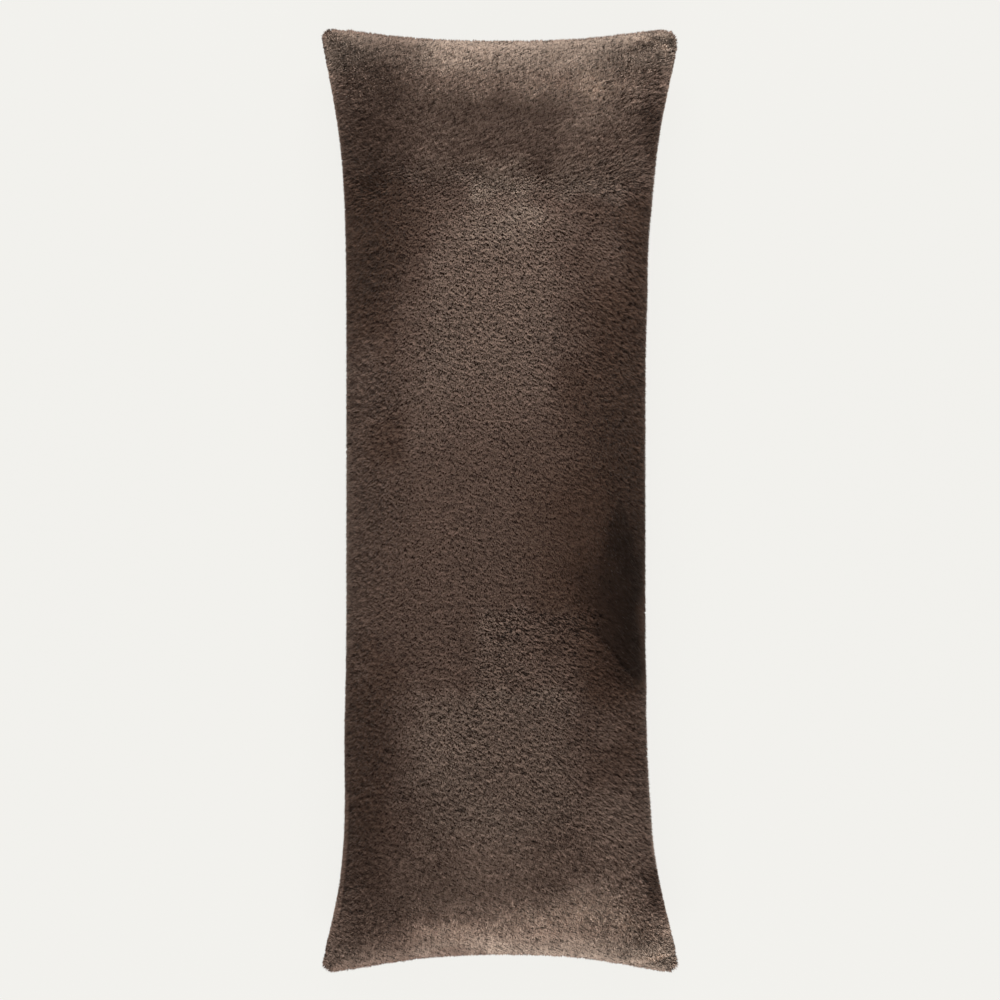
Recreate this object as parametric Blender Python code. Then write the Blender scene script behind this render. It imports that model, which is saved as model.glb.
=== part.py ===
"""A stuffed body pillow in short, dense plush, lying on its back.

Two long plush panels, front and back, are sewn to each other all round and filled. The filling draws the sides
and the ends in between the corners, so each corner stands out as a flat ear. The solid reaches as far as the tips
of the pile. Metres, +Z up. X runs across the pillow, Y along it, and it rests on the plane Z = 0.
"""

import math
from collections import namedtuple

import bmesh
import bpy
from mathutils import Vector

# Driving sizes.
LENGTH = 1.330  # from corner to corner along Y
WIDTH = 0.504  # from corner to corner along X
THICKNESS = 0.200  # at the crown
PILE = 0.011  # how far the plush stands off its cloth, on every side of it
LEFT, RIGHT, HEAD, FOOT = -1, 1, 1, -1
SIDE_DRAW = {LEFT: 0.0383, RIGHT: 0.0508}  # how far the filling draws each long side in
END_DRAW = {HEAD: 0.0218, FOOT: 0.0308}  # and each end

SEAM_GROOVE = 0.0050  # how far the pile parts over the stitches
SIDE_SEAM_Z = 0.088  # height of the seam halfway along a side
END_SEAM_Z = 0.068  # and halfway along an end
SAG = 0.024  # how far the back would bulge through the surface it is pressed flat on
FLOOR_BLEND = 0.006  # height over which the flat back rounds up into the sides
BEARING_DRAW = 0.10  # how far the flat's sides are drawn in between its corners, as a share of its half width
BEARING_LIFT = 0.0020  # how far the back has lifted off the surface at
BEARING_REACH = 0.40  # this share of the flat's half width outside it
ON_ITS_CORNER = 1e-5  # the share that counts as on the flat's corner
DRAW_POWER = 1.55  # how a drawn-in edge curves back out to its corner
ROUNDED_OFF = 0.0030  # how much further out a corner would reach if it were sharp

# How the filling rounds a panel: (1 - |across| ** power) ** root, and the same along it.
Rounding = namedtuple("Rounding", "across across_root along along_root")
FRONT_ROUNDING = Rounding(2.5, 0.50, 3.9, 0.59)
BACK_ROUNDING = Rounding(3.0, 0.50, 6.0, 0.52)

# The mesh of each panel, closest at the edges.
COLUMNS, ROWS = 30, 76
COLUMN_CROWDING, ROW_CROWDING = 1.00, 0.97
BEARING_COLUMN, BEARING_ROW = 6, 18  # the corners of the flat that it rests on, in steps out from the middle

Corner = namedtuple("Corner", "side_reach end_reach radius tip_z")
CORNERS = {
    # (side, end): how far the ear flares along the side and along the end, the roundness of its tip as seen from
    # above, and the height of that tip
    (LEFT, HEAD): Corner(0.135, 0.110, 0.017, 0.040),
    (RIGHT, HEAD): Corner(0.163, 0.105, 0.028, 0.046),
    (LEFT, FOOT): Corner(0.112, 0.115, 0.018, 0.038),
    (RIGHT, FOOT): Corner(0.142, 0.108, 0.020, 0.044),
}

Bulge = namedtuple("Bulge", "y along out")
BULGES = {
    # Where the filling presses a long side further out.
    LEFT: (Bulge(-0.335, 0.090, 0.0026),),
    RIGHT: (Bulge(0.290, 0.060, 0.0018), Bulge(-0.345, 0.060, 0.0012)),
}

Crease = namedtuple("Crease", "x0 y0 x1 y1 width depth")
CREASES = (
    # Soft troughs in the front panel, each from one point to another, seen from above, and deeper at the first.
    # Two of them turn the edge of the right-hand ears over.
    Crease(0.2460, 0.6390, 0.1720, 0.6240, 0.0100, 0.0075),
    Crease(0.2500, -0.6380, 0.1880, -0.6420, 0.0100, 0.0075),
    # The others are where the fulness is gathered into the ends and sides.
    Crease(0.1270, 0.6440, 0.0740, 0.6130, 0.0110, 0.0055),
    Crease(0.0230, 0.6450, 0.0080, 0.5850, 0.0140, 0.0035),
    Crease(-0.0650, 0.6400, -0.0560, 0.5750, 0.0150, 0.0035),
    Crease(-0.1450, 0.6400, -0.1200, 0.5850, 0.0130, 0.0040),
    Crease(0.1090, -0.6250, 0.0800, -0.6180, 0.0100, 0.0050),
    Crease(-0.0150, -0.6300, -0.0100, -0.5650, 0.0150, 0.0035),
    Crease(-0.1000, -0.6330, -0.0850, -0.5750, 0.0140, 0.0035),
    Crease(0.1650, -0.6300, 0.1350, -0.5700, 0.0130, 0.0040),
    Crease(-0.2080, 0.3850, -0.1700, 0.3650, 0.0160, 0.0030),
    Crease(0.2060, -0.4300, 0.1640, -0.4120, 0.0160, 0.0030),
)

Swell = namedtuple("Swell", "x y across along rise")
SWELLS = (
    # Where the filling lies a little fuller or thinner under the front panel.
    Swell(0.055, 0.330, 0.110, 0.170, 0.0030),
    Swell(-0.120, 0.150, 0.090, 0.200, -0.0045),
    Swell(0.010, -0.060, 0.120, 0.180, -0.0020),
    Swell(0.150, -0.120, 0.060, 0.150, -0.0060),
    Swell(-0.060, -0.360, 0.120, 0.160, 0.0030),
    Swell(0.130, -0.420, 0.080, 0.140, -0.0025),
)


def flare(distance, reach):
    """1 at the corner, and falling to 0 where the edge is fully drawn in."""
    return math.exp(-((distance / reach) ** DRAW_POWER))


def side_x(side, y):
    """How far out the pile of one long side reaches at y."""
    near_head = flare(LENGTH / 2 - y, CORNERS[side, HEAD].side_reach)
    near_foot = flare(LENGTH / 2 + y, CORNERS[side, FOOT].side_reach)
    bulging = sum(bulge.out * math.exp(-(((y - bulge.y) / bulge.along) ** 2)) for bulge in BULGES[side])
    return side * (WIDTH / 2 + ROUNDED_OFF - SIDE_DRAW[side] * (1 - near_head - near_foot) + bulging)


def end_y(end, x):
    """How far out the pile of one end reaches at x."""
    near_left = flare(WIDTH / 2 + x, CORNERS[LEFT, end].end_reach)
    near_right = flare(WIDTH / 2 - x, CORNERS[RIGHT, end].end_reach)
    return end * (LENGTH / 2 + ROUNDED_OFF - END_DRAW[end] * (1 - near_left - near_right))


def corner_at(across, along):
    """The corner of the quarter of the pillow that a point is in."""
    return CORNERS[RIGHT if across > 0 else LEFT, HEAD if along > 0 else FOOT]


def plan(across, along):
    """The place of a point of the pillow, seen from above, and its distance to the edge.

    across and along run from -1 to 1 over a panel.
    """
    rough_x, rough_y = across * WIDTH / 2, along * LENGTH / 2
    left, right = side_x(LEFT, rough_y), side_x(RIGHT, rough_y)
    head, foot = end_y(HEAD, rough_x), end_y(FOOT, rough_x)
    x = (left + right) / 2 + across * (right - left) / 2
    y = (head + foot) / 2 * abs(along) ** 3 + along * (head - foot) / 2
    to_side = (1 - abs(across)) * (right - left) / 2
    to_end = min(head - y, y - foot)
    # Near a corner the square grid is drawn in to a round one.
    radius = corner_at(across, along).radius
    into_x, into_y = radius - to_side, radius - to_end
    if into_x > 0 and into_y > 0:
        shrink = 1 - max(into_x, into_y) / math.hypot(into_x, into_y)
        x -= math.copysign(into_x * shrink, across)
        y -= math.copysign(into_y * shrink, along)
    return x, y, max(0.0, min(to_side, to_end))


def seam_height(across, along):
    """The height of the surface between the two panels, which is the seam's own height at their edges."""
    towards_end = abs(along) ** 5
    height = SIDE_SEAM_Z + (END_SEAM_Z - SIDE_SEAM_Z) * towards_end
    towards_corner = abs(across) ** 3 * abs(along) ** 7
    return height + (corner_at(across, along).tip_z - height) * towards_corner


def fulness(across, along, rounding):
    """The share of its full height that a panel has there: 0 at its seams and 1 in its middle."""
    over_x = max(0.0, 1 - abs(across) ** rounding.across) ** rounding.across_root
    over_y = max(0.0, 1 - abs(along) ** rounding.along) ** rounding.along_root
    return over_x * over_y


def swelling(x, y):
    """How much the filling lifts or drops the front panel at a point."""
    return sum(
        s.rise * math.exp(-(((x - s.x) / s.across) ** 2) - ((y - s.y) / s.along) ** 2) for s in SWELLS
    )


def crease_depth(x, y):
    """How deep the creases of the front panel are at a point."""
    depth = 0.0
    for crease in CREASES:
        start = Vector((crease.x0, crease.y0))
        run = Vector((crease.x1, crease.y1)) - start
        to_point = Vector((x, y)) - start
        share = min(1.0, max(0.0, to_point.dot(run) / run.length_squared))
        away = (to_point - share * run).length
        fading = 1 - 0.7 * share
        depth += crease.depth * fading * math.exp(-((away / crease.width) ** 2))
    return depth


def pile_height(to_edge):
    """How far the pile stands up there: it curls round the edge in a half circle."""
    return PILE * math.sqrt(1 - max(0.0, 1 - to_edge / PILE) ** 2)


def front_point(across, along):
    """A point of the front, at the tips of its pile."""
    x, y, to_edge = plan(across, along)
    seam = seam_height(across, along)
    pile = pile_height(to_edge)
    crown = math.sqrt((THICKNESS - seam) ** 2 - PILE**2) + swelling(x, y)
    height = math.hypot(crown * fulness(across, along, FRONT_ROUNDING), pile)
    return Vector((x, y, seam + height - crease_depth(x, y) * pile / PILE))


def back_point(across, along):
    """A point of the back, at the tips of its pile."""
    x, y, to_edge = plan(across, along)
    seam = seam_height(across, along)
    depth = math.hypot((seam + SAG) * fulness(across, along, BACK_ROUNDING), pile_height(to_edge))
    return Vector((x, y, max(on_floor(seam - depth), lift_off(across, along))))


def on_floor(z):
    """Presses what would reach below the floor flat on it, with a soft bend beside the flat."""
    if z <= -FLOOR_BLEND:
        return 0.0
    if z < FLOOR_BLEND:
        return (z + FLOOR_BLEND) ** 2 / (4 * FLOOR_BLEND)
    return z


def crowded(share, crowding):
    """Spreads -1 to 1 so that the steps get smaller towards both ends."""
    return (1 - crowding) * share + crowding * math.sin(math.pi / 2 * share)


BEARING_ACROSS = crowded(BEARING_COLUMN / (COLUMNS / 2), COLUMN_CROWDING)
BEARING_ALONG = crowded(BEARING_ROW / (ROWS / 2), ROW_CROWDING)


def lift_off(across, along):
    """How far at least the back has lifted off the surface, outside the flat that bears on it.

    The flat has four corners and drawn-in sides, as the whole pillow has.
    """
    over_x, over_y = abs(across) / BEARING_ACROSS, abs(along) / BEARING_ALONG
    past_side = over_x - 1 + BEARING_DRAW * (1 - over_y**2)
    past_end = over_y - 1 + BEARING_DRAW * (1 - over_x**2)
    past = max(past_side, past_end)
    return BEARING_LIFT * min(1.0, past / BEARING_REACH) if past > ON_ITS_CORNER else 0.0


def add_panel(bm, point):
    """A panel: a flat grid whose points are carried to where the filling holds them."""
    grid = bmesh.ops.create_grid(bm, x_segments=COLUMNS, y_segments=ROWS, size=1.0)
    for vertex in grid["verts"]:
        across = crowded(vertex.co.x, COLUMN_CROWDING)
        along = crowded(vertex.co.y, ROW_CROWDING)
        vertex.co = point(across, along)


def part_pile(seam):
    """Draws the seam in between the pile of the two panels, which leaves a groove all round."""
    drawn_in = []
    for vertex in seam:
        before, after = (
            edge.other_vert(vertex).co for edge in vertex.link_edges if edge.other_vert(vertex) in seam
        )
        outward = Vector((after.y - before.y, before.x - after.x, 0)).normalized()
        if outward.dot(vertex.co) < 0:
            outward.negate()
        drawn_in.append(vertex.co - SEAM_GROOVE * outward)
    for vertex, place in zip(seam, drawn_in):
        vertex.co = place


def centre_over_origin(bm):
    """Puts the middle of the pillow's box over the origin."""
    for axis in range(2):
        places = [vertex.co[axis] for vertex in bm.verts]
        middle = (min(places) + max(places)) / 2
        for vertex in bm.verts:
            vertex.co[axis] -= middle


def plush_material():
    """Dark taupe plush: rough, with a faint sheen."""
    material = bpy.data.materials.new("plush")
    material.use_nodes = True
    shader = material.node_tree.nodes["Principled BSDF"]
    shader.inputs["Base Color"].default_value = (0.098, 0.069, 0.052, 1.0)
    shader.inputs["Roughness"].default_value = 0.9
    shader.inputs["Metallic"].default_value = 0.0
    shader.inputs["Sheen Weight"].default_value = 0.3
    material.diffuse_color = (0.098, 0.069, 0.052, 1.0)
    return material


def make_pillow(collection):
    """The whole pillow: both panels sewn at their edges, and their pile."""
    bm = bmesh.new()
    add_panel(bm, back_point)
    bmesh.ops.reverse_faces(bm, faces=bm.faces[:])
    add_panel(bm, front_point)
    edges = [vertex for vertex in bm.verts if vertex.is_boundary]
    bmesh.ops.remove_doubles(bm, verts=edges, dist=1e-5)
    part_pile([vertex for vertex in edges if vertex.is_valid])
    centre_over_origin(bm)
    mesh = bpy.data.meshes.new("pillow")
    bm.to_mesh(mesh)
    bm.free()
    mesh.materials.append(plush_material())
    mesh.shade_smooth()
    pillow = bpy.data.objects.new("pillow", mesh)
    collection.objects.link(pillow)
    return pillow


def main():
    for leftover in list(bpy.data.objects):
        bpy.data.objects.remove(leftover)
    collection = bpy.data.collections.new("body pillow")
    bpy.context.scene.collection.children.link(collection)
    make_pillow(collection)


main()
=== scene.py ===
"""A body pillow in short, dense plush, lying on its back on a pale floor, seen from straight above.

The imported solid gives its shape. A cloth skin is stuffed just inside it, and the pile is planted on that:
soft tufts that lean along the nap, gather in small ripples and reach about as far as the solid does. Metres,
+Z up, with +Y towards the head end.
"""

import itertools
import math
from collections import namedtuple

import bmesh
import bpy
import numpy as np
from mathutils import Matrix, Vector
from mathutils.bvhtree import BVHTree
from mathutils.kdtree import KDTree


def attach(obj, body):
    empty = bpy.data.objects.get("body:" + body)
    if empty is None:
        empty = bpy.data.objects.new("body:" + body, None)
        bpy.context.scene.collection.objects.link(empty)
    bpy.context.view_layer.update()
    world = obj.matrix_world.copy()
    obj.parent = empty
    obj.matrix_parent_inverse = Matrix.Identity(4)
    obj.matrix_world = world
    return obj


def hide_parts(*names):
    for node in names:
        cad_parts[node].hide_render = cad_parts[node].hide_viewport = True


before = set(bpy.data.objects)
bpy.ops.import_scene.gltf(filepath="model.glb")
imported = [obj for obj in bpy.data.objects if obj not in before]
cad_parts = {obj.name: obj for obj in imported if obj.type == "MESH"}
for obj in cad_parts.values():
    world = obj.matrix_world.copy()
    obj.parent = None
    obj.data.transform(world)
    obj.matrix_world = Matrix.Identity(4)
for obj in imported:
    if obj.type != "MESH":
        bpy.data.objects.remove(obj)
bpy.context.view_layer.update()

# The cloth under the pile.
CLOTH_DEPTH, SEAM_DEPTH = 0.0065, 0.0036  # how far it lies under the solid's surface, and beside the seam
SEAM_REACH = 0.030
CLOTH_STEP = 0.0062  # the size of its mesh
SMOOTHING, SOFTENING = 12, 3  # passes that take the steps out of that mesh, and that even it out after that
SEAM_ANGLE = math.radians(-40)  # the fold of the solid's surface that marks its seam
SEAM_HOLD = 0.010  # the stitches hold the cloth this far from the seam
PRESSURE, FRAMES, MOST_SWELLING = 0.6, 20, 0.0012
LEAST_Z = 0.0006  # nothing hangs lower than this

# The pile. A tuft is two-sided, with a ridge down its back, from a wide hidden foot to a fine tip.
FRONT_SPACING, BACK_SPACING = 0.00147, 0.0027  # from each tuft to the next
BACK_FACING = -0.35  # a square whose normal's Z is below this is on the back
FOOT_RADIUS, FOOT_SPREAD = 0.0017, (0.85, 1.15)
RIDGE_TURN = 0.35
BURIED = 0.0010  # how far a foot is sunk in the cloth
LEAN = math.radians(32)
LEAN_SPREAD, WAVE_LEAN = math.radians(8), 0.12  # a tuft in a dip leans more than one on a crest
LEAST_LEAN, MOST_LEAN = 0.1, 1.2
HEIGHT_SPREAD = (0.92, 1.08)
ROOT_SPREAD = 0.16  # how unevenly the roots stand in each square of the cloth
SCATTER = 0.0007  # how far a tip strays by itself
TURNING = math.radians(30)  # how far the nap wanders to either side of its direction
TURNING_SIZE = 0.075
FUZZ, MOST_FUZZ = 0.0013, 1.4  # how far single tips stand proud of the rest, and the most as a multiple
BLOOM, BLOOM_LIFT = 0.0011, 1.2  # how far all of them do round the rim, and how much taller that makes them
RIM = 0.30  # the normals at the rim have a Z of about this or less
RIM_HEIGHT = 0.4  # how much taller the pile is there
EARS = (0.205, 0.235)  # the ears start between here and here, to either side of the middle
EARS_FULLER = 1.2  # how much closer the tufts stand on them,
EARS_BLOOM, EARS_FUZZ = 0.9, 0.75  # and the shares of the bloom and the fuzz that they lack
MOST_ROOM = 1.5 * CLOTH_DEPTH
# Stretches of the right side where the pile is fuller: the middle along Y, the reach, and how much further.
FULLER_FROM = 0.1
FULLER = ((0.435, 0.060, 0.0026), (-0.420, 0.050, 0.0018), (-0.250, 0.030, 0.0012))
FANNING = 0.022  # beside a seam the nap fans out over it
SEAM_FEET = 0.55  # and there its feet, elsewhere painted dark as shade, are this near to its tips in colour
SIDE_GLOW, END_GLOW = 0.62, -0.50  # how much lighter the rim is painted down the sides and at the ends: painted light, and painted shade below 0
END_STARTS = (0.60, 0.63)

# The ripples that the tips gather in, each a little wave across the nap.
RIPPLE_LONG, RIPPLE_SHORT = {"head": 0.0068, "rest": 0.0050}, 0.0025
BROAD_WAVE, FINE_WAVE, FINE_CELLS = 0.75, 0.40, 1.9
PARTING, PARTED, PARTING_CELLS = 1.25, (0.35, 0.75), 1.1  # the short partings between them
WAVE_GAIN, END_WAVE = 1.25, 1.2
RIPPLE_TURN = {"head": math.radians(24), "rest": math.radians(-25)}
HEAD_STARTS, HEAD_FULL = 0.36, 0.47  # where along Y the ripples change their turn
NAP_PARTS = (0.400, 0.500)  # the nap lies towards the head end beyond this, and the foot end before it
RIPPLE_DEPTH = 0.46  # the share of the pile's height that they take
WAVE_LIMITS, RIM_CALM, FAN_UPRIGHT = (-1.8, 1.2), 0.7, 0.8
CREASE_DIP, CREASE_CALM = 0.2, 0.7  # how much lower the pile is in a crease, and how much calmer beside it
ENDS = (0.50, 0.60)  # from here to here along Y the pile comes to stand up more, and its ripples deepen
END_UPRIGHT, END_SHAG, END_CALM = 0.55, 0.5, 0.35
# The share of the nap's painted light and shade that doesn't count as painted sheen on the shoulders of the
# ends, and where they start and end.
DULLING, DULL_FROM, DULL_TO_HEAD, DULL_TO_FOOT = 0.45, (0.42, 0.50), (0.58, 0.63), (0.60, 0.64)
GATHERING, MOST_GATHERING = 1.4e-6, 0.0008
NUDGE = 0.0003

TUFT_SEED, NOISE_TABLE = 7, 1 << 16


def smoothstep(low, high, value):
    share = np.clip((value - low) / (high - low), 0, 1)
    return share * share * (3 - 2 * share)


def noise(cells, seed):
    """Smooth noise from -1 to 1 at points that are given in cells."""
    table = np.random.default_rng(seed).uniform(-1, 1, NOISE_TABLE)
    low = np.floor(cells).astype(np.int64)
    share = cells - low
    share = share * share * (3 - 2 * share)
    total = np.zeros(len(cells))
    for corner in itertools.product((0, 1), repeat=3):
        at = low + corner
        pick = (at[:, 0] * 73856093 ^ at[:, 1] * 19349663 ^ at[:, 2] * 83492791) % NOISE_TABLE
        weight = np.prod(np.where(corner, share, 1 - share), axis=1)
        total += weight * table[pick]
    return total


def unit(vectors):
    return vectors / np.maximum(np.linalg.norm(vectors, axis=1, keepdims=True), 1e-9)


def along_surface(vectors, normals):
    """The part of each vector that lies in the surface."""
    return vectors - normals * np.sum(vectors * normals, axis=1, keepdims=True)


# --- The nap -------------------------------------------------------------------------------------------

# Where the nap was stroked another way: a patch from x0 to x1 and y0 to y1, each side with its own softness.
# The column before shag is painted light and shade from the nap's sheen and the light: how much lighter it
# looks, as a logarithm; shag is how much deeper its ripples are, and lean how much further the pile lies
# down.
Patch = namedtuple("Patch", "x0 x1 y0 y1 soft_x0 soft_x1 soft_y0 soft_y1 tone shag lean")
PATCHES = (
    # The broad patch of painted light above the middle, its top and its tail to the left.
    Patch(-0.100, 0.100, 0.120, 0.390, 0.022, 0.045, 0.080, 0.050, 0.38, 0.10, 0.00),
    Patch(-0.055, 0.040, 0.360, 0.480, 0.025, 0.020, 0.030, 0.015, 0.40, 0.10, 0.00),
    Patch(-0.200, -0.090, 0.080, 0.270, 0.025, 0.030, 0.060, 0.060, 0.18, 0.00, 0.00),
    # The slants of painted light beside the head end and the foot end.
    Patch(-0.120, 0.190, 0.495, 0.540, 0.040, 0.020, 0.010, 0.015, 0.31, 0.00, 0.00),
    Patch(0.090, 0.190, 0.360, 0.540, 0.025, 0.020, 0.030, 0.020, 0.29, 0.00, 0.00),
    Patch(0.100, 0.170, 0.530, 0.590, 0.040, 0.040, 0.030, 0.030, 0.74, 0.00, 0.00),
    Patch(0.090, 0.190, -0.590, -0.520, 0.030, 0.030, 0.020, 0.030, 0.42, 0.00, 0.00),
    Patch(0.130, 0.210, -0.540, -0.420, 0.030, 0.020, 0.040, 0.060, 0.46, 0.00, 0.00),
    Patch(-0.230, 0.230, 0.445, 0.490, 0.020, 0.020, 0.015, 0.020, 0.34, 0.00, 0.00),
    Patch(-0.120, -0.060, 0.440, 0.540, 0.020, 0.020, 0.030, 0.020, 0.19, 0.00, 0.00),
    Patch(-0.045, 0.185, 0.420, 0.448, 0.020, 0.030, 0.010, 0.012, 0.50, 0.00, 0.00),
    Patch(0.030, 0.070, 0.550, 0.585, 0.015, 0.020, 0.015, 0.015, 0.47, 0.00, 0.00),
    # The left side, mostly in painted shade.
    Patch(-0.150, -0.100, 0.330, 0.450, 0.015, 0.015, 0.020, 0.015, -0.24, 0.00, 0.00),
    Patch(-0.210, -0.160, 0.150, 0.225, 0.010, 0.020, 0.015, 0.020, 0.19, 0.00, 0.00),
    Patch(-0.250, -0.140, 0.100, 0.600, 0.010, 0.030, 0.080, 0.060, -0.29, 0.00, 0.00),
    Patch(-0.250, -0.150, 0.220, 0.480, 0.010, 0.030, 0.050, 0.030, -0.45, -0.10, 0.05),
    Patch(-0.250, -0.165, -0.270, 0.050, 0.010, 0.030, 0.050, 0.060, -0.05, 0.00, 0.00),
    Patch(-0.250, -0.150, -0.600, -0.200, 0.010, 0.040, 0.050, 0.030, -0.44, 0.00, 0.00),
    # The right side, mostly in painted shade.
    Patch(0.210, 0.270, 0.460, 0.610, 0.012, 0.010, 0.020, 0.020, -0.51, 0.00, 0.00),
    Patch(0.215, 0.270, -0.590, -0.520, 0.012, 0.010, 0.020, 0.020, -1.11, 0.00, 0.00),
    Patch(0.070, 0.120, 0.110, 0.200, 0.030, 0.020, 0.030, 0.030, -0.33, 0.00, 0.00),
    Patch(0.110, 0.260, -0.262, 0.450, 0.060, 0.010, 0.016, 0.040, -0.41, 0.00, 0.00),
    Patch(0.150, 0.260, 0.000, 0.450, 0.040, 0.010, 0.090, 0.040, -0.21, 0.00, 0.00),
    Patch(0.020, 0.260, -0.220, 0.180, 0.050, 0.010, 0.040, 0.080, -0.07, 0.00, 0.00),
    Patch(0.050, 0.260, -0.240, 0.040, 0.050, 0.010, 0.040, 0.060, -0.38, 0.00, 0.05),
    Patch(0.160, 0.200, -0.262, -0.040, 0.040, 0.012, 0.010, 0.050, -0.77, -0.30, 0.10),
    Patch(0.090, 0.150, -0.170, 0.010, 0.030, 0.014, 0.040, 0.040, 0.02, -0.20, 0.10),
    Patch(0.095, 0.140, -0.160, -0.080, 0.020, 0.015, 0.020, 0.020, -0.44, 0.00, 0.00),
    Patch(0.140, 0.175, -0.290, -0.235, 0.015, 0.015, 0.015, 0.010, -0.29, 0.00, 0.00),
    Patch(0.130, 0.175, -0.345, -0.300, 0.015, 0.020, 0.015, 0.012, 0.29, 0.00, 0.00),
    Patch(0.130, 0.180, 0.310, 0.370, 0.020, 0.020, 0.020, 0.020, 0.42, 0.00, 0.00),
    Patch(0.030, 0.070, 0.380, 0.410, 0.020, 0.020, 0.015, 0.015, 0.51, 0.00, 0.00),
    Patch(-0.180, -0.130, 0.050, 0.110, 0.020, 0.020, 0.020, 0.020, -0.39, 0.00, 0.00),
    Patch(-0.210, -0.180, -0.250, -0.215, 0.010, 0.015, 0.015, 0.015, 0.33, 0.00, 0.00),
    # Below the middle, two patches of painted light with a sharp upper edge, and a lighter one in the lower
    # of them.
    Patch(-0.130, 0.120, -0.560, -0.264, 0.040, 0.050, 0.060, 0.010, 0.40, 0.20, -0.10),
    Patch(-0.035, 0.120, -0.270, -0.148, 0.012, 0.030, 0.040, 0.008, 0.32, 0.45, -0.15),
    Patch(-0.030, 0.150, -0.182, -0.152, 0.015, 0.015, 0.012, 0.005, 0.04, 0.80, -0.10),
    Patch(-0.060, 0.050, -0.540, -0.440, 0.030, 0.030, 0.030, 0.030, 0.25, 0.00, 0.00),
    Patch(-0.120, -0.020, -0.420, -0.290, 0.030, 0.030, 0.030, 0.015, 0.09, 0.00, 0.00),
    # The ends, mostly in painted light.
    Patch(-0.110, 0.270, 0.560, 0.680, 0.060, 0.010, 0.020, 0.010, 0.58, 0.00, 0.00),
    Patch(0.000, 0.270, -0.680, -0.560, 0.060, 0.010, 0.010, 0.030, 0.76, 0.00, 0.00),
    Patch(-0.120, 0.010, -0.640, -0.595, 0.030, 0.030, 0.010, 0.012, 0.58, 0.00, 0.00),
    Patch(-0.060, 0.080, -0.600, -0.555, 0.030, 0.030, 0.010, 0.012, 0.16, 0.00, 0.00),
    Patch(-0.270, 0.270, 0.540, 0.690, 0.010, 0.010, 0.035, 0.010, 0.49, 0.00, 0.00),
    Patch(-0.270, 0.270, -0.690, -0.540, 0.010, 0.010, 0.010, 0.035, 0.33, 0.00, 0.00),
    Patch(-0.110, 0.000, 0.600, 0.660, 0.030, 0.050, 0.015, 0.010, 0.17, 0.00, 0.00),
    Patch(-0.110, -0.030, -0.620, -0.560, 0.030, 0.040, 0.010, 0.020, 0.28, 0.00, 0.00),
    Patch(-0.130, 0.230, 0.622, 0.700, 0.030, 0.020, 0.008, 0.010, -0.08, 0.00, 0.00),
    Patch(0.000, 0.200, -0.700, -0.622, 0.030, 0.020, 0.010, 0.008, -0.09, 0.00, 0.00),
    Patch(0.160, 0.250, 0.600, 0.632, 0.020, 0.010, 0.010, 0.010, -0.14, 0.00, 0.00),
    Patch(0.160, 0.250, -0.635, -0.600, 0.020, 0.010, 0.010, 0.010, -0.13, 0.00, 0.00),
    Patch(-0.160, 0.000, -0.690, -0.636, 0.020, 0.020, 0.010, 0.006, 0.10, 0.00, 0.00),
    # The painted light on the left ears, and the painted shade in the corner under the streak.
    Patch(-0.270, -0.170, 0.600, 0.680, 0.010, 0.050, 0.030, 0.010, 0.38, 0.00, 0.00),
    Patch(-0.270, -0.160, -0.680, -0.550, 0.010, 0.040, 0.010, 0.020, 0.18, 0.00, 0.00),
    Patch(0.155, 0.200, -0.340, -0.270, 0.015, 0.020, 0.020, 0.010, 0.06, 0.00, 0.00),
    Patch(0.110, 0.230, -0.400, -0.262, 0.040, 0.010, 0.040, 0.010, -0.31, 0.00, 0.00),
    # The calm middle.
    Patch(-0.200, 0.190, -0.140, 0.090, 0.050, 0.050, 0.050, 0.090, 0.00, -0.20, 0.05),
)
EDGE_WANDER, EDGE_WANDER_SIZE = 0.014, 0.030
FRONT_STARTS = (0.03, 0.08)  # the strokes show above this height only

# The creases and seam lines that show, where the pile parts, painted dark as shade, and the rolled edges
# beside them, painted lighter as highlights where they catch the light.
Crease = namedtuple("Crease", "path width tone")
CREASES = (
    Crease(((0.2505, 0.6368), (0.2083, 0.6544), (0.1850, 0.6600)), 0.0013, -1.10),
    Crease(((0.2400, 0.6350), (0.2080, 0.6480), (0.1650, 0.6520)), 0.0030, 0.45),
    Crease(((0.2519, -0.6369), (0.2196, -0.6516), (0.1800, -0.6555)), 0.0014, -1.10),
    Crease(((0.2380, -0.6380), (0.2139, -0.6475), (0.1650, -0.6490)), 0.0030, 0.45),
    Crease(((0.2460, 0.6390), (0.1720, 0.6240)), 0.0060, 0.20),
    Crease(((0.2500, -0.6380), (0.1880, -0.6420)), 0.0050, 0.30),
    Crease(
        ((-0.2360, -0.6060), (-0.2266, -0.5735), (-0.2210, -0.5285), (-0.2163, -0.4694), (-0.2139, -0.3600)),
        0.0026,
        0.70,
    ),
    Crease(
        ((-0.2325, -0.6060), (-0.2229, -0.5735), (-0.2173, -0.5285), (-0.2125, -0.4694), (-0.2103, -0.3600)),
        0.0013,
        -0.90,
    ),
    Crease(((0.1858, -0.2484), (0.1365, -0.1870), (0.0900, -0.1600)), 0.0032, -0.40),
)

CREASE_STARTS, CREASE_ENDS, CREASE_LEAST_Z = (0.0, 0.15), (0.65, 1.0), 0.02

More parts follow.
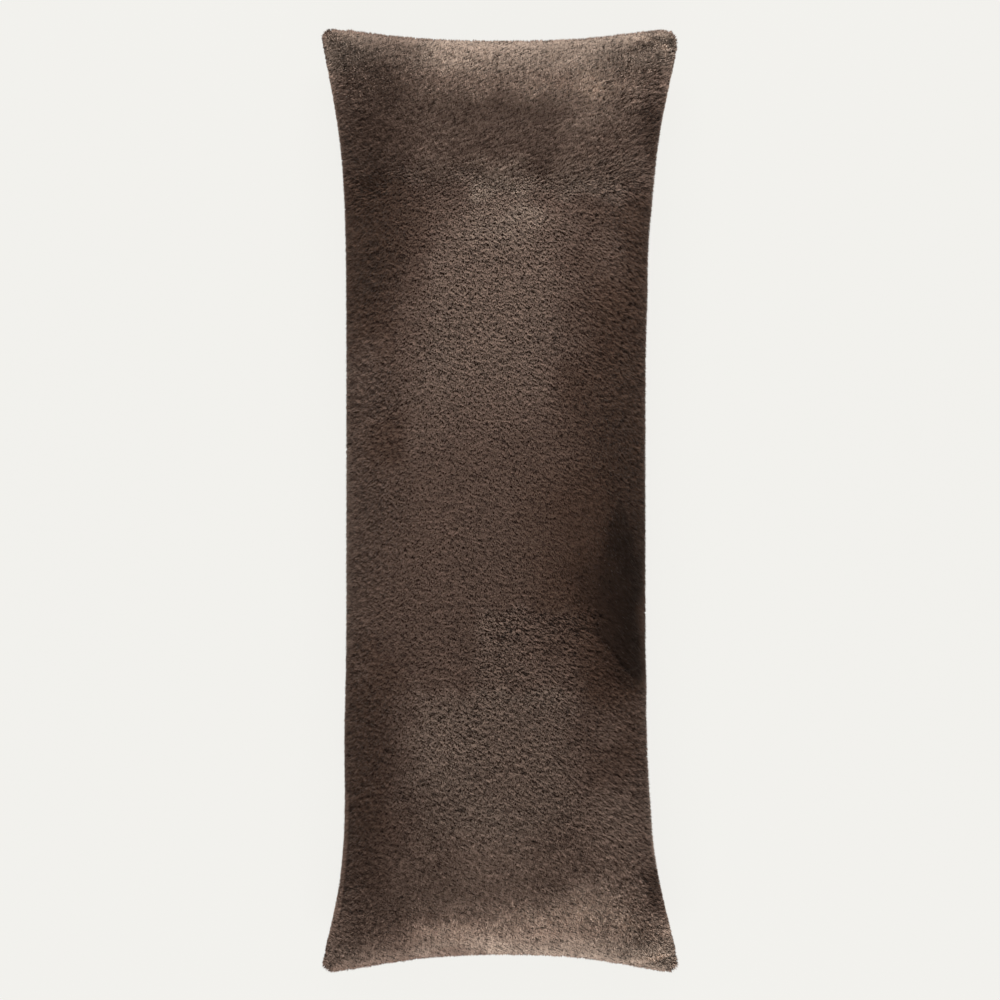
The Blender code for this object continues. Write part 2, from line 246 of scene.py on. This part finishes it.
# The streak of painted shade down the right side, where the nap lies another way, a flame with its tip up:
# how far along Y, its left and right edges, and their softness, from the foot of it to the tip.
STREAK = np.array([
    (-0.2600, 0.2090, 0.2060, 0.0025),
    (-0.2484, 0.1858, 0.1990, 0.0030),
    (-0.2104, 0.1576, 0.1970, 0.0040),
    (-0.1823, 0.1365, 0.1960, 0.0060),
    (-0.1400, 0.1337, 0.1960, 0.0090),
    (-0.0978, 0.1407, 0.1970, 0.0110),
    (-0.0626, 0.1492, 0.1886, 0.0060),
    (-0.0274, 0.1562, 0.1801, 0.0040),
    (-0.0106, 0.1633, 0.1745, 0.0030),
    (0.0020, 0.1690, 0.1690, 0.0030),
])
# How dark the streak is painted as shade, how much calmer its ripples are, and how much further its pile
# lies.
STREAK_SHADE, STREAK_SHAG, STREAK_LEAN = -0.55, -0.75, 0.25
STREAK_ENDS, STREAK_WANDER = (-0.2600, -0.2565, -0.0050, 0.0040), 0.0022


def creased(points):
    """How much painted shade and painted highlight the creases put on the pile at each point, and how deep
    it is parted there.
    """
    tone, parting = np.zeros(len(points)), np.zeros(len(points))
    for crease in CREASES:
        path = np.array(crease.path)
        ends = np.concatenate([[0], np.cumsum(np.linalg.norm(np.diff(path, axis=0), axis=1))])
        away, along = np.full(len(points), 1.0), np.zeros(len(points))
        ends /= ends[-1]
        for start, step, before, after in zip(path, np.diff(path, axis=0), ends, ends[1:]):
            past = points[:, :2] - start
            share = np.clip(past @ step / (step @ step), 0, 1)
            distance = np.linalg.norm(past - share[:, None] * step, axis=1)
            along = np.where(distance < away, before + share * (after - before), along)
            away = np.minimum(away, distance)
        share = np.exp(-((away / crease.width) ** 2)) * (points[:, 2] > CREASE_LEAST_Z)
        share *= smoothstep(*CREASE_STARTS, along) * (1 - smoothstep(*CREASE_ENDS, along))
        tone += crease.tone * share
        if crease.tone < 0:
            parting += share
    return tone, parting


def streaked(points):
    """The share of the streak in the nap at each point."""
    cells = points / (EDGE_WANDER_SIZE / 3)
    x, y = (points[:, axis] + STREAK_WANDER * noise(cells, seed) for axis, seed in ((0, 71), (1, 81)))
    left, right, soft = (np.interp(y, STREAK[:, 0], STREAK[:, k]) for k in (1, 2, 3))
    low, low_full, high_full, high = STREAK_ENDS
    inside = smoothstep(left - soft, left + soft, x) * (1 - smoothstep(right - soft, right + soft, x))
    return inside * smoothstep(low, low_full, y) * (1 - smoothstep(high_full, high, y))


def stroked(points):
    """The painted light and shade, shag and lean of the nap at each point, all 0 where nothing has stroked
    it.
    """
    cells = points / EDGE_WANDER_SIZE
    x, y = (
        points[:, axis] + EDGE_WANDER * (noise(cells, seed) + 0.5 * noise(2.3 * cells, seed + 1))
        for axis, seed in ((0, 31), (1, 41))
    )
    streak = streaked(points)
    tone, shag, lean = streak * STREAK_SHADE, streak * STREAK_SHAG, streak * STREAK_LEAN
    for p in PATCHES:
        share = (
            smoothstep(p.x0 - p.soft_x0, p.x0 + p.soft_x0, x)
            * (1 - smoothstep(p.x1 - p.soft_x1, p.x1 + p.soft_x1, x))
            * smoothstep(p.y0 - p.soft_y0, p.y0 + p.soft_y0, y)
            * (1 - smoothstep(p.y1 - p.soft_y1, p.y1 + p.soft_y1, y))
        )
        tone += share * p.tone
        shag += share * p.shag
        lean += share * p.lean
    front = smoothstep(*FRONT_STARTS, points[:, 2])
    return tone * front, shag * front, lean * front


def rippling(points):
    """The ripples of the pile's tips, from about -1 in a dip to 1 on a crest."""
    waves = []
    x, y, z = points.T
    for seed, part in ((3, "rest"), (13, "head")):
        turn, length = RIPPLE_TURN[part], RIPPLE_LONG[part]
        long_way = x * math.cos(turn) + y * math.sin(turn)
        short_way = y * math.cos(turn) - x * math.sin(turn)
        cells = np.stack([long_way / length, short_way / RIPPLE_SHORT, z / length / 2], axis=1)
        wave = BROAD_WAVE * noise(cells, seed) + FINE_WAVE * noise(cells * FINE_CELLS + 5.3, seed + 1)
        waves.append(wave - PARTING * smoothstep(*PARTED, noise(cells * PARTING_CELLS + 11.7, seed + 2)))
    head = smoothstep(HEAD_STARTS, HEAD_FULL, points[:, 1])
    return WAVE_GAIN * (waves[0] * (1 - head) + waves[1] * head) / np.hypot(head, 1 - head)


# --- The cloth -----------------------------------------------------------------------------------------


def choose(obj):
    bpy.ops.object.select_all(action="DESELECT")
    obj.select_set(True)
    bpy.context.view_layer.objects.active = obj


def add_modifier(obj, kind, **settings):
    modifier = obj.modifiers.new(kind.lower(), kind)
    for name, value in settings.items():
        setattr(modifier, name, value)
    return modifier


def apply_modifiers(obj):
    choose(obj)
    for modifier in list(obj.modifiers):
        bpy.ops.object.modifier_apply(modifier=modifier.name)


def merged_copy(node, name):
    """A copy of a solid with its triangles joined to each other."""
    copy = bpy.data.objects.new(name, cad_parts[node].data.copy())
    bpy.context.scene.collection.objects.link(copy)
    copy.data.materials.clear()
    choose(copy)
    bpy.ops.object.mode_set(mode="EDIT")
    bpy.ops.mesh.select_all(action="SELECT")
    bpy.ops.mesh.remove_doubles(threshold=1e-5)
    bpy.ops.object.mode_set(mode="OBJECT")
    return copy


def places(mesh):
    found = np.zeros(len(mesh.vertices) * 3)
    mesh.vertices.foreach_get("co", found)
    return found.reshape(-1, 3)


def place(mesh, points):
    mesh.vertices.foreach_set("co", points.astype(np.float32).ravel())
    mesh.update()


def normals_of(mesh):
    found = np.zeros(len(mesh.vertices) * 3, np.float32)
    mesh.vertex_normals.foreach_get("vector", found)
    return found.reshape(-1, 3).astype(float)


def find_seam(mesh):
    """The points of the groove where the front and back panels meet."""
    bm = bmesh.new()
    bm.from_mesh(mesh)
    on_seam = {
        vertex.index: vertex.co.copy()
        for edge in bm.edges
        if len(edge.link_faces) == 2 and edge.calc_face_angle_signed() < SEAM_ANGLE
        for vertex in edge.verts
    }
    bm.free()
    tree = KDTree(len(on_seam))
    for number, point in enumerate(on_seam.values()):
        tree.insert(point, number)
    tree.balance()
    return tree


def stuff(cloth, seam):
    """Fills the cloth: it swells between its stitches, and no further than a stuffed panel does."""
    before = places(cloth.data)
    held = cloth.vertex_groups.new(name="stitches")
    stitched = [number for number, point in enumerate(before) if seam.find(point)[2] < SEAM_HOLD]
    held.add(stitched, 1.0, "REPLACE")
    filling = add_modifier(cloth, "CLOTH")
    filling.settings.use_pressure = True
    filling.settings.uniform_pressure_force = PRESSURE
    filling.settings.vertex_group_mass = held.name
    filling.settings.effector_weights.gravity = 0
    filling.collision_settings.use_collision = False
    filling.point_cache.frame_end = FRAMES
    for step in range(1, FRAMES + 1):
        bpy.context.scene.frame_set(step)
    apply_modifiers(cloth)
    moved = places(cloth.data) - before
    far = np.linalg.norm(moved, axis=1, keepdims=True)
    moved *= np.minimum(1, MOST_SWELLING / np.maximum(far, 1e-9))
    place(cloth.data, before + moved)
    cloth.vertex_groups.clear()


def lay_under(cloth, solid, seam):
    """Brings the cloth to an even depth under the solid's surface, and nearer to it beside the seam."""
    surface = BVHTree.FromObject(solid, bpy.context.evaluated_depsgraph_get())
    points = places(cloth.data)
    for number, point in enumerate(points):
        nearest, normal, _, _ = surface.find_nearest(Vector(point))
        beside = math.exp(-((seam.find(point)[2] / SEAM_REACH) ** 2))
        points[number] = nearest - (CLOTH_DEPTH + (SEAM_DEPTH - CLOTH_DEPTH) * beside) * normal
    place(cloth.data, points)


def make_cloth(solid, seam):
    cloth = bpy.data.objects.new("plush_cloth", solid.data.copy())
    bpy.context.scene.collection.objects.link(cloth)
    add_modifier(cloth, "DISPLACE", mid_level=0.0, strength=-CLOTH_DEPTH)
    add_modifier(cloth, "REMESH", mode="VOXEL", voxel_size=CLOTH_STEP, use_smooth_shade=True)
    add_modifier(cloth, "SMOOTH", factor=0.5, iterations=SMOOTHING)
    apply_modifiers(cloth)
    lay_under(cloth, solid, seam)
    add_modifier(cloth, "SMOOTH", factor=0.5, iterations=SOFTENING)
    apply_modifiers(cloth)
    stuff(cloth, seam)
    points = places(cloth.data)
    points[:, 2] = np.maximum(points[:, 2], LEAST_Z + BURIED)
    place(cloth.data, points)
    cloth.data.shade_smooth()
    return cloth


# --- The pile ------------------------------------------------------------------------------------------

Roots = namedtuple("Roots", "point normal room outward to_seam")


def survey(cloth, solid, seam):
    """What the pile needs to know at each point of the cloth: its place and normal, how far off the solid's
    surface is, the way to the seam and the distance to it."""
    points, normals = places(cloth.data), normals_of(cloth.data)
    surface = BVHTree.FromObject(solid, bpy.context.evaluated_depsgraph_get())
    room, to_seam = np.zeros(len(points)), np.zeros(len(points))
    outward = np.zeros((len(points), 3))
    for number, (point, normal) in enumerate(zip(points, normals)):
        hit = surface.ray_cast(Vector(point), Vector(normal), 3 * CLOTH_DEPTH)
        room[number] = min(hit[3], MOST_ROOM) if hit[0] is not None else CLOTH_DEPTH
        nearest, _, distance = seam.find(point)
        outward[number], to_seam[number] = np.array(nearest) - point, distance
    return Roots(points, normals, room, unit(outward), to_seam)


def spread(cloth, found, on_back, rng):
    """Roots for tufts, spread over the squares of the cloth's mesh, either on the back or elsewhere."""
    mesh = cloth.data
    corners = np.zeros(len(mesh.loops), np.int32)
    mesh.loops.foreach_get("vertex_index", corners)
    count, start = np.zeros(len(mesh.polygons), np.int32), np.zeros(len(mesh.polygons), np.int32)
    mesh.polygons.foreach_get("loop_total", count)
    mesh.polygons.foreach_get("loop_start", start)
    squares = corners[start[count == 4][:, None] + np.arange(4)]
    facing = found.normal[squares].mean(axis=1)[:, 2]
    squares = squares[(facing < BACK_FACING) == on_back]
    a, b, c, d = (found.point[squares[:, k]] for k in range(4))
    area = np.linalg.norm(np.cross(c - a, d - b), axis=1) / 2
    area *= 1 + EARS_FULLER * smoothstep(*EARS, np.abs(a[:, 0]))
    # Each square gets as many tufts as its area calls for, spread over it by steps of the plastic number.
    spacing = BACK_SPACING if on_back else FRONT_SPACING
    filled = np.floor(np.cumsum(area) / spacing**2).astype(int)
    count = np.diff(filled, prepend=0)
    owner = np.repeat(np.arange(len(squares)), count)
    rank = np.arange(len(owner)) - np.repeat(filled - count, count)
    start = rng.uniform(0, 1, (len(squares), 2))[owner]
    step = rank[:, None] * np.array([0.7548777, 0.5698403])
    at = (start + step + rng.uniform(0, ROOT_SPREAD, start.shape)) % 1
    u, v = at[:, 0:1], at[:, 1:2]
    weights = [(1 - u) * (1 - v), u * (1 - v), u * v, (1 - u) * v]

    def mixed(values):
        values = values.reshape(len(values), -1)
        return sum(values[squares[owner, k]] * weights[k] for k in range(4))

    point, normal, outward = mixed(found.point), unit(mixed(found.normal)), unit(mixed(found.outward))
    return Roots(point, normal, mixed(found.room)[:, 0], outward, mixed(found.to_seam)[:, 0])


def fanned(roots):
    """How far the seam has turned the nap at each root, from 0 to 1."""
    return np.exp(-((roots.to_seam / FANNING) ** 2))


def rimmed(roots):
    """How near each root is to the rim of the pillow as it is seen from above, from 0 to 1."""
    return np.exp(-((roots.normal[:, 2] / RIM) ** 2))


def bloomed(roots):
    """How far the tips stand proud of the solid: most at the rim, but not on the ears."""
    x, y = roots.point[:, 0], roots.point[:, 1]
    fuller = sum(more * np.exp(-(((y - at) / reach) ** 2)) * (x > FULLER_FROM) for at, reach, more in FULLER)
    return (BLOOM + fuller) * rimmed(roots) * (1 - EARS_BLOOM * smoothstep(*EARS, np.abs(x)))


def lay_nap(roots, rng):
    """Where the tip of each tuft comes, and the painted light and shade, ripple and shag of its part of the
    nap.
    """
    point, normal = roots.point, roots.normal
    _, shag, lean = stroked(point)
    wave = rippling(point)
    slope = np.stack([rippling(point + np.eye(3)[k] * NUDGE) - wave for k in range(3)], axis=1) / NUDGE
    turn = TURNING * noise(point / TURNING_SIZE, 51)
    parted = point[:, 1] + 2 * EDGE_WANDER * noise(point / EDGE_WANDER_SIZE / 1.5, 61)
    to_foot = 1 - 2 * smoothstep(*NAP_PARTS, parted) * (point[:, 2] > 0.05)
    nap_y = -np.cos(turn) * np.where(to_foot < 0, -1, 1)
    nap = np.stack([np.sin(turn), nap_y, np.zeros(len(point))], axis=1)
    fan = fanned(roots)[:, None]
    nap = unit(along_surface(unit(along_surface(nap, normal)) * (1 - fan) + roots.outward * fan, normal))
    at_end = smoothstep(*ENDS, np.abs(point[:, 1]))
    lean, shag = (1 + lean) * (1 - END_UPRIGHT * at_end), np.clip(1 + shag + END_SHAG * at_end, 0.1, 2)
    rim = np.maximum(fan[:, 0], rimmed(roots))
    depth = RIPPLE_DEPTH * shag * (1 - RIM_CALM * rim)
    height = roots.room * (1 - depth * (0.5 - 0.5 * np.clip(wave, *WAVE_LIMITS)))
    uneven = rng.uniform(*HEIGHT_SPREAD, len(point))
    height *= uneven * (1 + RIM_HEIGHT * rim) * (1 - CREASE_DIP * creased(point)[1])
    height += BLOOM_LIFT * bloomed(roots)
    angle = LEAN * lean * (1 - FAN_UPRIGHT * fan[:, 0]) * np.abs(to_foot)
    angle += LEAN_SPREAD * rng.standard_normal(len(point)) - WAVE_LEAN * wave
    reach = height * np.tan(np.clip(angle, LEAST_LEAN, MOST_LEAN))
    gather = GATHERING * along_surface(slope, normal) * shag[:, None] * (1 - RIM_CALM * fan)
    far = np.maximum(np.linalg.norm(gather, axis=1, keepdims=True), 1e-9)
    gather *= np.minimum(1, MOST_GATHERING / far)
    stray = along_surface(rng.normal(0, SCATTER, (len(point), 3)), normal)
    tip = point + normal * height[:, None] + nap * reach[:, None] + gather + stray
    drawn = (shag - END_CALM * at_end) * (1 - CREASE_CALM * np.minimum(1, np.abs(creased(tip)[0])))
    # The rim is painted lighter down the sides and darker at the ends, as painted light and shade.
    glow = SIDE_GLOW + (END_GLOW - SIDE_GLOW) * smoothstep(*END_STARTS, np.abs(point[:, 1]))
    tone = stroked(tip)[0] + glow * rimmed(roots)
    return tip, tone, wave * (1 - at_end) + END_WAVE * rippling(tip) * at_end, drawn


def hold_in(tips_at, bloom, solid, rng):
    """Draws back the tips that reach past the solid and its bloom, but for a little fuzz."""
    surface = BVHTree.FromObject(solid, bpy.context.evaluated_depsgraph_get())
    on_ears = smoothstep(*EARS, np.abs(tips_at[:, 0]))
    allowed = rng.exponential(FUZZ / 2, len(tips_at)) * (1 - EARS_FUZZ * on_ears)
    for number, tip in enumerate(tips_at):
        nearest, normal, _, _ = surface.find_nearest(Vector(tip))
        beyond = Vector(tip) - nearest
        reach = bloom[number] + min(allowed[number], MOST_FUZZ * FUZZ)
        if beyond.dot(normal) > 0 and beyond.length > reach:
            tips_at[number] = nearest + beyond.normalized() * reach
    tips_at[:, 2] = np.maximum(tips_at[:, 2], LEAST_Z)


def dulled(y):
    """How much of the dulling of the painted sheen there is, on the shoulders of the ends."""
    past = (1 - smoothstep(*DULL_TO_HEAD, y)) * (1 - smoothstep(*DULL_TO_FOOT, -y))
    return smoothstep(*DULL_FROM, np.abs(y)) * past


def make_pile(name, roots, tip, tone, wave, shag, rng):
    """One piece of pile: a tuft from each root to its tip, its ridge on the side that it leans away from."""
    total = len(roots.point)
    back = unit(along_surface(roots.point - tip + 1e-4 * rng.standard_normal((total, 3)), roots.normal))
    side = np.cross(roots.normal, back)
    turn = rng.normal(0, RIDGE_TURN, total)[:, None]
    c, s = np.cos(turn), np.sin(turn)
    back, side = c * back + s * side, c * side - s * back
    radius = FOOT_RADIUS * rng.uniform(*FOOT_SPREAD, total)[:, None]
    base = roots.point - BURIED * roots.normal
    around = [base + radius * (c * back + s * side) for c, s in ((-0.5, 0.87), (1.0, 0.0), (-0.5, -0.87))]
    points = np.stack([*around, tip], axis=1).reshape(-1, 3)
    points[:, 2] = np.maximum(points[:, 2], LEAST_Z)
    faces = (4 * np.arange(total)[:, None, None] + np.array([[0, 3, 1], [1, 3, 2]])).reshape(-1, 3)
    mesh = bpy.data.meshes.new(name)
    mesh.vertices.add(len(points))
    mesh.vertices.foreach_set("co", points.astype(np.float32).ravel())
    mesh.loops.add(faces.size)
    mesh.loops.foreach_set("vertex_index", faces.astype(np.int32).ravel())
    mesh.polygons.add(len(faces))
    mesh.polygons.foreach_set("loop_start", np.arange(0, faces.size, 3, dtype=np.int32))
    mesh.update(calc_edges=True)
    mesh.validate()
    mesh.shade_smooth()
    # Each tuft has a square of the map to itself, with its tip in the middle of it.
    across = math.ceil(math.sqrt(total))
    cell = np.stack([np.arange(total) % across, np.arange(total) // across], axis=1)
    spots = np.array([[0.04, 0.04], [0.96, 0.04], [0.50, 0.96], [0.50, 0.42]])
    where = ((cell[:, None] + spots[None]) / across).reshape(-1, 2)
    uvs = mesh.uv_layers.new(name="OFBake").data
    uvs.foreach_set("uv", where[faces.ravel()].astype(np.float32).ravel())
    own = rng.uniform(-1, 1, total)
    values = {
        # How far each point is from the dark colour painted as shade at the feet.
        "tip": np.where(np.arange(4 * total) % 4 == 3, 1.0, np.repeat(SEAM_FEET * fanned(roots), 4)),
        # The painted light and shade of the nap, the rim and the creases, and the share of it that tints the
        # tips as sheen.
        "tone": np.repeat(tone, 4) + creased(points)[0],
        "glint": np.repeat(tone * (1 - DULLING * dulled(roots.point[:, 1])), 4),
        "own": np.repeat(own, 4),
        "wave": np.repeat(wave, 4),
        "shag": np.repeat(shag, 4),
    }
    for label, numbers in values.items():
        mesh.attributes.new(label, "FLOAT", "POINT").data.foreach_set("value", numbers.astype(np.float32))
    pile = bpy.data.objects.new(name, mesh)
    bpy.context.scene.collection.objects.link(pile)
    return pile


# --- Finishes ------------------------------------------------------------------------------------------


class Number:
    """A value that varies over a surface, and takes part in Python sums."""

    def __init__(self, finish, socket):
        self.finish, self.socket = finish, socket

    def math(self, operation, *others):
        values = dict(enumerate((self, *others)))
        return self.finish.node("ShaderNodeMath", {"operation": operation}, values).out()

    def __add__(self, other):
        return self.math("ADD", other)

    def __sub__(self, other):
        return self.math("SUBTRACT", other)

    def __mul__(self, other):
        return self.math("MULTIPLY", other)

    def __pow__(self, other):
        return self.math("POWER", other)

    __radd__, __rmul__ = __add__, __mul__

    def between(self, low, high):
        """0 at low and below, 1 at high and above, and smooth in between."""
        values = {"Value": self, "From Min": low, "From Max": high}
        settings = {"interpolation_type": "SMOOTHSTEP"}
        return self.finish.node("ShaderNodeMapRange", settings, values).out()


class Node:
    def __init__(self, finish, node):
        self.finish, self.node = finish, node

    def out(self, name=0):
        return Number(self.finish, self.node.outputs[name])


class Finish:
    """A material and its nodes."""

    def __init__(self, name):
        self.material = bpy.data.materials.new(name)
        self.material.use_nodes = True
        self.tree = self.material.node_tree
        self.shader = self.tree.nodes["Principled BSDF"]

    def node(self, kind, settings=None, values=None):
        made = self.tree.nodes.new(kind)
        for name, value in (settings or {}).items():
            setattr(made, name, value)
        for name, value in (values or {}).items():
            self.feed(made.inputs[name], value)
        return Node(self, made)

    def feed(self, socket, value):
        if isinstance(value, Number):
            self.tree.links.new(value.socket, socket)
        else:
            socket.default_value = value

    def attribute(self, name):
        return self.node("ShaderNodeAttribute", {"attribute_name": name}).out("Fac")

    def own_place(self):
        return self.node("ShaderNodeTexCoord").out("Object")

    def mottle(self, cell, detail=2.0, turn=0.0):
        """Noise from 0 to 1 in the pillow's own coordinates, in cells of a given size, turned about Z."""
        values = {"Vector": self.own_place(), "Rotation": (0, 0, turn), "Scale": cell}
        where = self.node("ShaderNodeMapping", {"vector_type": "TEXTURE"}, values).out()
        return self.node("ShaderNodeTexNoise", None, {"Vector": where, "Scale": 1.0, "Detail": detail}).out()

    def mixed(self, share, one, other):
        made = self.node("ShaderNodeMix", {"data_type": "RGBA"}, {0: share, 6: one, 7: other})
        return made.out(2)

    def tinted(self, colour, amount):
        """A colour made darker or lighter by a number."""
        made = self.node("ShaderNodeVectorMath", {"operation": "SCALE"}, {0: colour, "Scale": amount})
        return made.out()


DASH = (0.0062, 0.0018, 0.0110)  # the size of the short partings between clumps, painted dark as shade, along them, across them and upwards
# The feet of the tufts are painted dark, as the shade deep in the pile.
PILE_FOOT_SHADE = (0.020, 0.0098, 0.0058, 1.0)
PILE_TIP = (0.174, 0.1148, 0.089, 1.0)
PILE_TIP_SHADED = (0.196, 0.1125, 0.077, 1.0)  # the same tips painted as if in shade, where the nap lies away from the eye,
PILE_TIP_SHEEN = (0.155, 0.1205, 0.0968, 1.0)  # and painted with sheen, where it catches the light
CLOTH_COLOUR = (0.030, 0.017, 0.012, 1.0)


def pile_finish():
    """Painted dark as shade at its feet and lighter at its tips, with the nap's patches of painted light and
    shade, and a faint sheen.
    """
    plush = Finish("plush_pile")
    values = ("tip", "tone", "glint", "own", "wave", "shag")
    tip, tone, glint, own, wave, shag = (plush.attribute(name) for name in values)
    blotches = plush.mottle((0.071, 0.071, 0.071), 3.0)
    along = plush.node("ShaderNodeSeparateXYZ", None, {"Vector": plush.own_place()}).out("Y")
    dashes, head_dashes = (plush.mottle(DASH, 2.0, RIPPLE_TURN[part]) for part in ("rest", "head"))
    dashes = dashes + along.between(HEAD_STARTS, HEAD_FULL) * (head_dashes - dashes)
    # How far each point is from the dark colour painted as shade at the feet to the tips' colour.
    share = tip ** 0.85
    # Painted light on the crests of the ripples, painted shade in their dips and in the dashes between
    # clumps; own and the blotches are the pile's own uneven colour.
    light = 1.13 + 0.12 * own + 0.18 * wave + 0.26 * (blotches - 0.5)
    light = light - 0.66 * shag * dashes.between(0.50, 0.65)
    # Then the painted light and shade of the nap, the rim and the creases.
    light = light * tone.math("EXPONENT")
    # The tips take a tint painted as shade where the glint is low, and a tint painted as sheen where it is
    # high.
    tips = plush.mixed(glint.between(-0.9, 0.2), PILE_TIP_SHADED, PILE_TIP)
    tips = plush.mixed(glint.between(-0.1, 1.0), tips, PILE_TIP_SHEEN)
    colour = plush.tinted(plush.mixed(share, PILE_FOOT_SHADE, tips), light)
    plush.feed(plush.shader.inputs["Base Color"], colour)
    plush.feed(plush.shader.inputs["Roughness"], 0.82 + 0.10 * (dashes - 0.5))
    plush.shader.inputs["Sheen Weight"].default_value = 0.12
    plush.shader.inputs["Sheen Tint"].default_value = (1.0, 0.86, 0.76, 1.0)
    plush.shader.inputs["Sheen Roughness"].default_value = 0.45
    plush.shader.inputs["Specular IOR Level"].default_value = 0.06
    fibres = plush.mottle((0.0007, 0.0007, 0.0007), 2.0)
    bump = plush.node("ShaderNodeBump", None, {"Strength": 0.35, "Distance": 0.0004, "Height": fibres})
    plush.feed(plush.shader.inputs["Normal"], bump.out())
    return plush.material


def cloth_finish():
    """The knitted ground of the plush, which only shows where the pile parts."""
    ground = Finish("plush_ground")
    knit = ground.mottle((0.0011, 0.0028, 0.0011), 2.0)
    # The knit is mixed with the dark colour painted as shade at the pile's feet.
    colour = ground.tinted(ground.mixed(knit, PILE_FOOT_SHADE, CLOTH_COLOUR), 0.7 + 0.6 * knit)
    ground.feed(ground.shader.inputs["Base Color"], colour)
    ground.shader.inputs["Roughness"].default_value = 0.95
    ground.shader.inputs["Specular IOR Level"].default_value = 0.2
    bump = ground.node("ShaderNodeBump", None, {"Strength": 0.5, "Distance": 0.0006, "Height": knit})
    ground.feed(ground.shader.inputs["Normal"], bump.out())
    return ground.material


# --- The studio ----------------------------------------------------------------------------------------

PALE = (0.888, 0.880, 0.847, 1.0)
FLOOR_SIZE = 60.0
FLOOR_GLOW = 0.962
LENS, SENSOR = 300.0, 36.0
VIEW_WIDTH = 1.4074  # what the picture takes in, at the height that the outline lies at
VIEW_HEIGHT = 0.055
VIEW_CENTRE = (0.0, 0.0007)

Softbox = namedtuple("Softbox", "name place width height power")
SOFTBOXES = (
    Softbox("head_light", (0.0, 3.2, 1.7), 2.0, 0.8, 188.0),
    Softbox("foot_light", (0.0, -3.2, 1.7), 2.0, 0.8, 188.0),
    Softbox("top_light", (0.0, 0.0, 2.8), 1.0, 2.4, 22.5),
)
AIM = Vector((0.0, 0.0, 0.10))


def set_up_studio():
    bpy.ops.object.select_all(action="DESELECT")
    bpy.ops.mesh.primitive_plane_add(size=FLOOR_SIZE)
    floor = bpy.context.object
    floor.name = "floor"
    paint = Finish("pale_floor")
    paint.shader.inputs["Base Color"].default_value = (0.02, 0.02, 0.0195, 1.0)
    paint.shader.inputs["Roughness"].default_value = 0.9
    paint.shader.inputs["Specular IOR Level"].default_value = 0.0
    paint.shader.inputs["Emission Color"].default_value = PALE
    paint.shader.inputs["Emission Strength"].default_value = FLOOR_GLOW
    floor.data.materials.append(paint.material)
    for box in SOFTBOXES:
        bpy.ops.object.light_add(type="AREA", location=box.place)
        light = bpy.context.object
        light.name = box.name
        light.rotation_mode = "QUATERNION"
        light.rotation_quaternion = (AIM - Vector(box.place)).to_track_quat("-Z", "Y")
        light.data.shape = "RECTANGLE"
        light.data.size, light.data.size_y = box.width, box.height
        light.data.energy = box.power
    world = bpy.data.worlds.new("studio")
    bpy.context.scene.world = world
    world.use_nodes = True
    sky = world.node_tree.nodes["Background"]
    sky.inputs["Color"].default_value = PALE
    sky.inputs["Strength"].default_value = 0.12
    bpy.ops.object.camera_add(
        location=(*VIEW_CENTRE, VIEW_HEIGHT + VIEW_WIDTH * LENS / SENSOR), rotation=(0, 0, 0)
    )
    camera = bpy.context.object
    camera.name = "camera"
    camera.data.lens, camera.data.sensor_width = LENS, SENSOR
    camera.data.clip_end = 200.0
    bpy.context.scene.camera = camera
    bpy.context.scene.view_settings.view_transform = "Standard"


# --- The pillow ----------------------------------------------------------------------------------------


def make_pillow():
    solid = merged_copy("pillow", "solid_copy")
    seam = find_seam(solid.data)
    cloth = make_cloth(solid, seam)
    found = survey(cloth, solid, seam)
    plush = pile_finish()
    cloth.data.materials.append(cloth_finish())
    pieces = [cloth]
    front = ("pile_head", "pile_chest", "pile_waist", "pile_foot")
    for on_back, bands in ((False, front), (True, ("pile_back",))):
        rng = np.random.default_rng(TUFT_SEED + on_back)
        roots = spread(cloth, found, on_back, rng)
        tip, tone, wave, shag = lay_nap(roots, rng)
        hold_in(tip, bloomed(roots), solid, rng)
        order = np.argsort(-roots.point[:, 1], kind="stable")
        for name, part in zip(bands, np.array_split(order, len(bands))):
            own = Roots(*(values[part] for values in roots))
            pile = make_pile(name, own, tip[part], tone[part], wave[part], shag[part], rng)
            pile.data.materials.append(plush)
            pieces.append(pile)
    bpy.data.objects.remove(solid)
    for piece in pieces:
        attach(piece, "root")
    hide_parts("pillow")


make_pillow()
set_up_studio()
